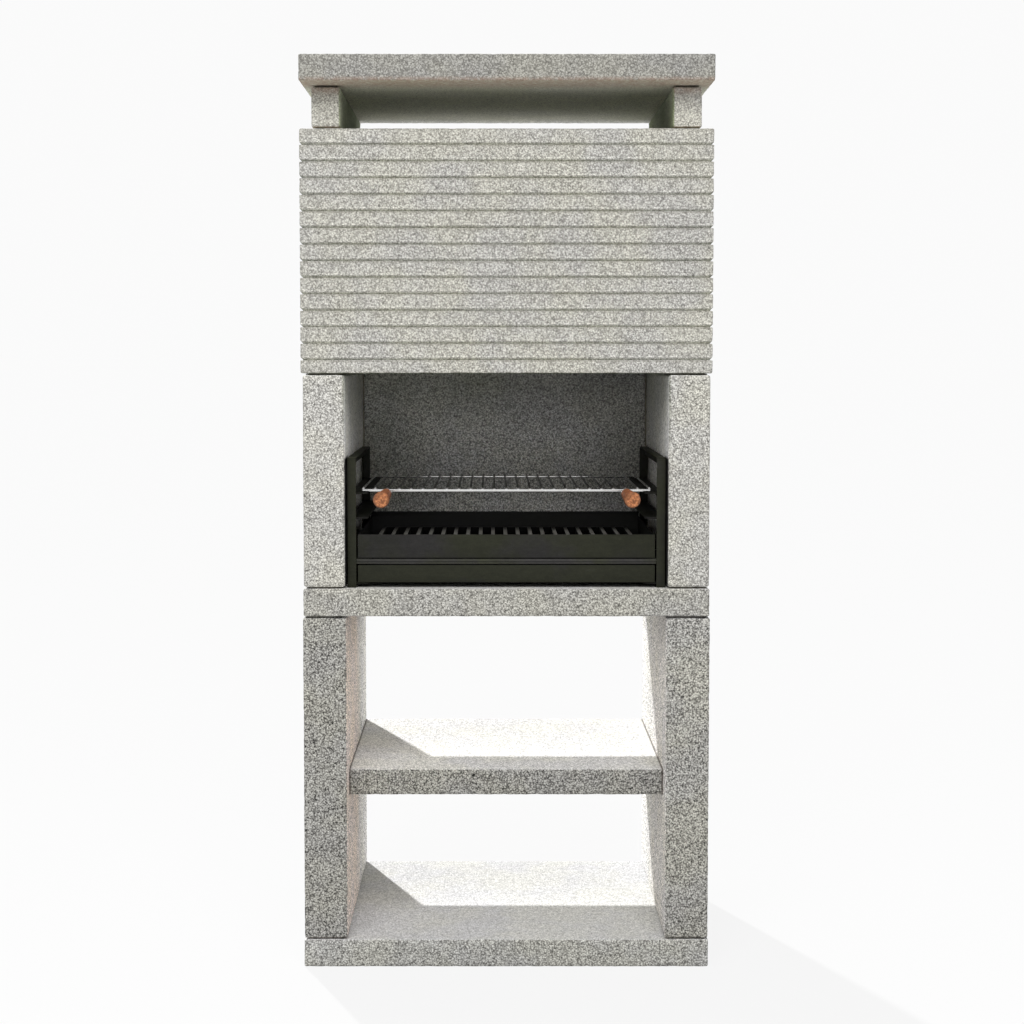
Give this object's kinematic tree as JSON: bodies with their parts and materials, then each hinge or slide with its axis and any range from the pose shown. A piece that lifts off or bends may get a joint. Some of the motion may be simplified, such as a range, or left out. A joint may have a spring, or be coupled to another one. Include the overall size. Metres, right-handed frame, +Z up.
{
  "type": "outdoor masonry barbecue",
  "caption": "Free-standing masonry barbecue with open storage bays, a fire chamber holding a sliding iron grill insert, a grooved hood and a raised cap.",
  "frame": {"origin": "middle of the base slab's underside, on the ground", "axes": "+Z up; +X to the right seen from the front; the open front faces -Y"},
  "size_m": [0.783, 0.6634, 1.742],
  "materials": {
    "grey_stone": "rough cast stone with exposed grey aggregate",
    "pale_stone": "rough pale cast stone with fine speckle",
    "mortar": "dark recessed bedding mortar",
    "insert_iron": "satin dark grey-green heat-proof paint",
    "tray_iron": "satin dark grey-green paint on folded sheet",
    "grate_iron": "raw cast iron dulled by heat",
    "rack_chrome": "bright plated wire",
    "grip_wood": "turned orange-brown wood with bare end grain"
  },
  "bodies": {
    "masonry": {"left_leg": "grey_stone", "right_leg": "grey_stone", "base_slab": "grey_stone", "storage_shelf": "grey_stone", "table_slab": "pale_stone", "left_chamber_wall": "pale_stone", "right_chamber_wall": "pale_stone", "chamber_back_wall": "pale_stone", "hood": "pale_stone", "left_cap_support": "pale_stone", "right_cap_support": "pale_stone", "chimney_cap": "pale_stone", "left_leg_base_joint": "mortar", "left_leg_table_joint": "mortar", "left_wall_table_joint": "mortar", "left_wall_hood_joint": "mortar", "left_back_wall_joint": "mortar", "left_support_hood_joint": "mortar", "left_support_cap_joint": "mortar", "right_leg_base_joint": "mortar", "right_leg_table_joint": "mortar", "right_wall_table_joint": "mortar", "right_wall_hood_joint": "mortar", "right_back_wall_joint": "mortar", "right_support_hood_joint": "mortar", "right_support_cap_joint": "mortar", "back_wall_table_joint": "mortar", "back_wall_hood_joint": "mortar", "left_front_post": "insert_iron", "left_rear_post": "insert_iron", "left_top_bar": "insert_iron", "left_upper_rack_ledge": "insert_iron", "left_lower_rack_ledge": "insert_iron", "left_tray_runner": "insert_iron", "left_drawer_runner": "insert_iron", "right_front_post": "insert_iron", "right_rear_post": "insert_iron", "right_top_bar": "insert_iron", "right_upper_rack_ledge": "insert_iron", "right_lower_rack_ledge": "insert_iron", "right_tray_runner": "insert_iron", "right_drawer_runner": "insert_iron", "front_rail": "insert_iron", "rear_rail": "insert_iron"},
    "drawer": {"ash_drawer": "tray_iron"},
    "tray": {"charcoal_tray": "tray_iron"},
    "grate": {"charcoal_grate": "grate_iron"},
    "rack": {"cooking_rack": "rack_chrome", "left_grip": "grip_wood", "right_grip": "grip_wood"}
  },
  "joints": [
    {"name": "drawer_slide", "type": "slide", "parent": "masonry", "child": "drawer", "axis": [0, -1, 0], "range_m": [0, 0.3]},
    {"name": "tray_slide", "type": "slide", "parent": "masonry", "child": "tray", "axis": [0, -1, 0], "range_m": [0, 0.28]},
    {"name": "grate_lift", "type": "slide", "parent": "tray", "child": "grate", "axis": [0, 0, 1], "range_m": [0, 0.05]},
    {"name": "rack_slide", "type": "slide", "parent": "masonry", "child": "rack", "axis": [0, -1, 0], "range_m": [0, 0.3]}
  ]
}
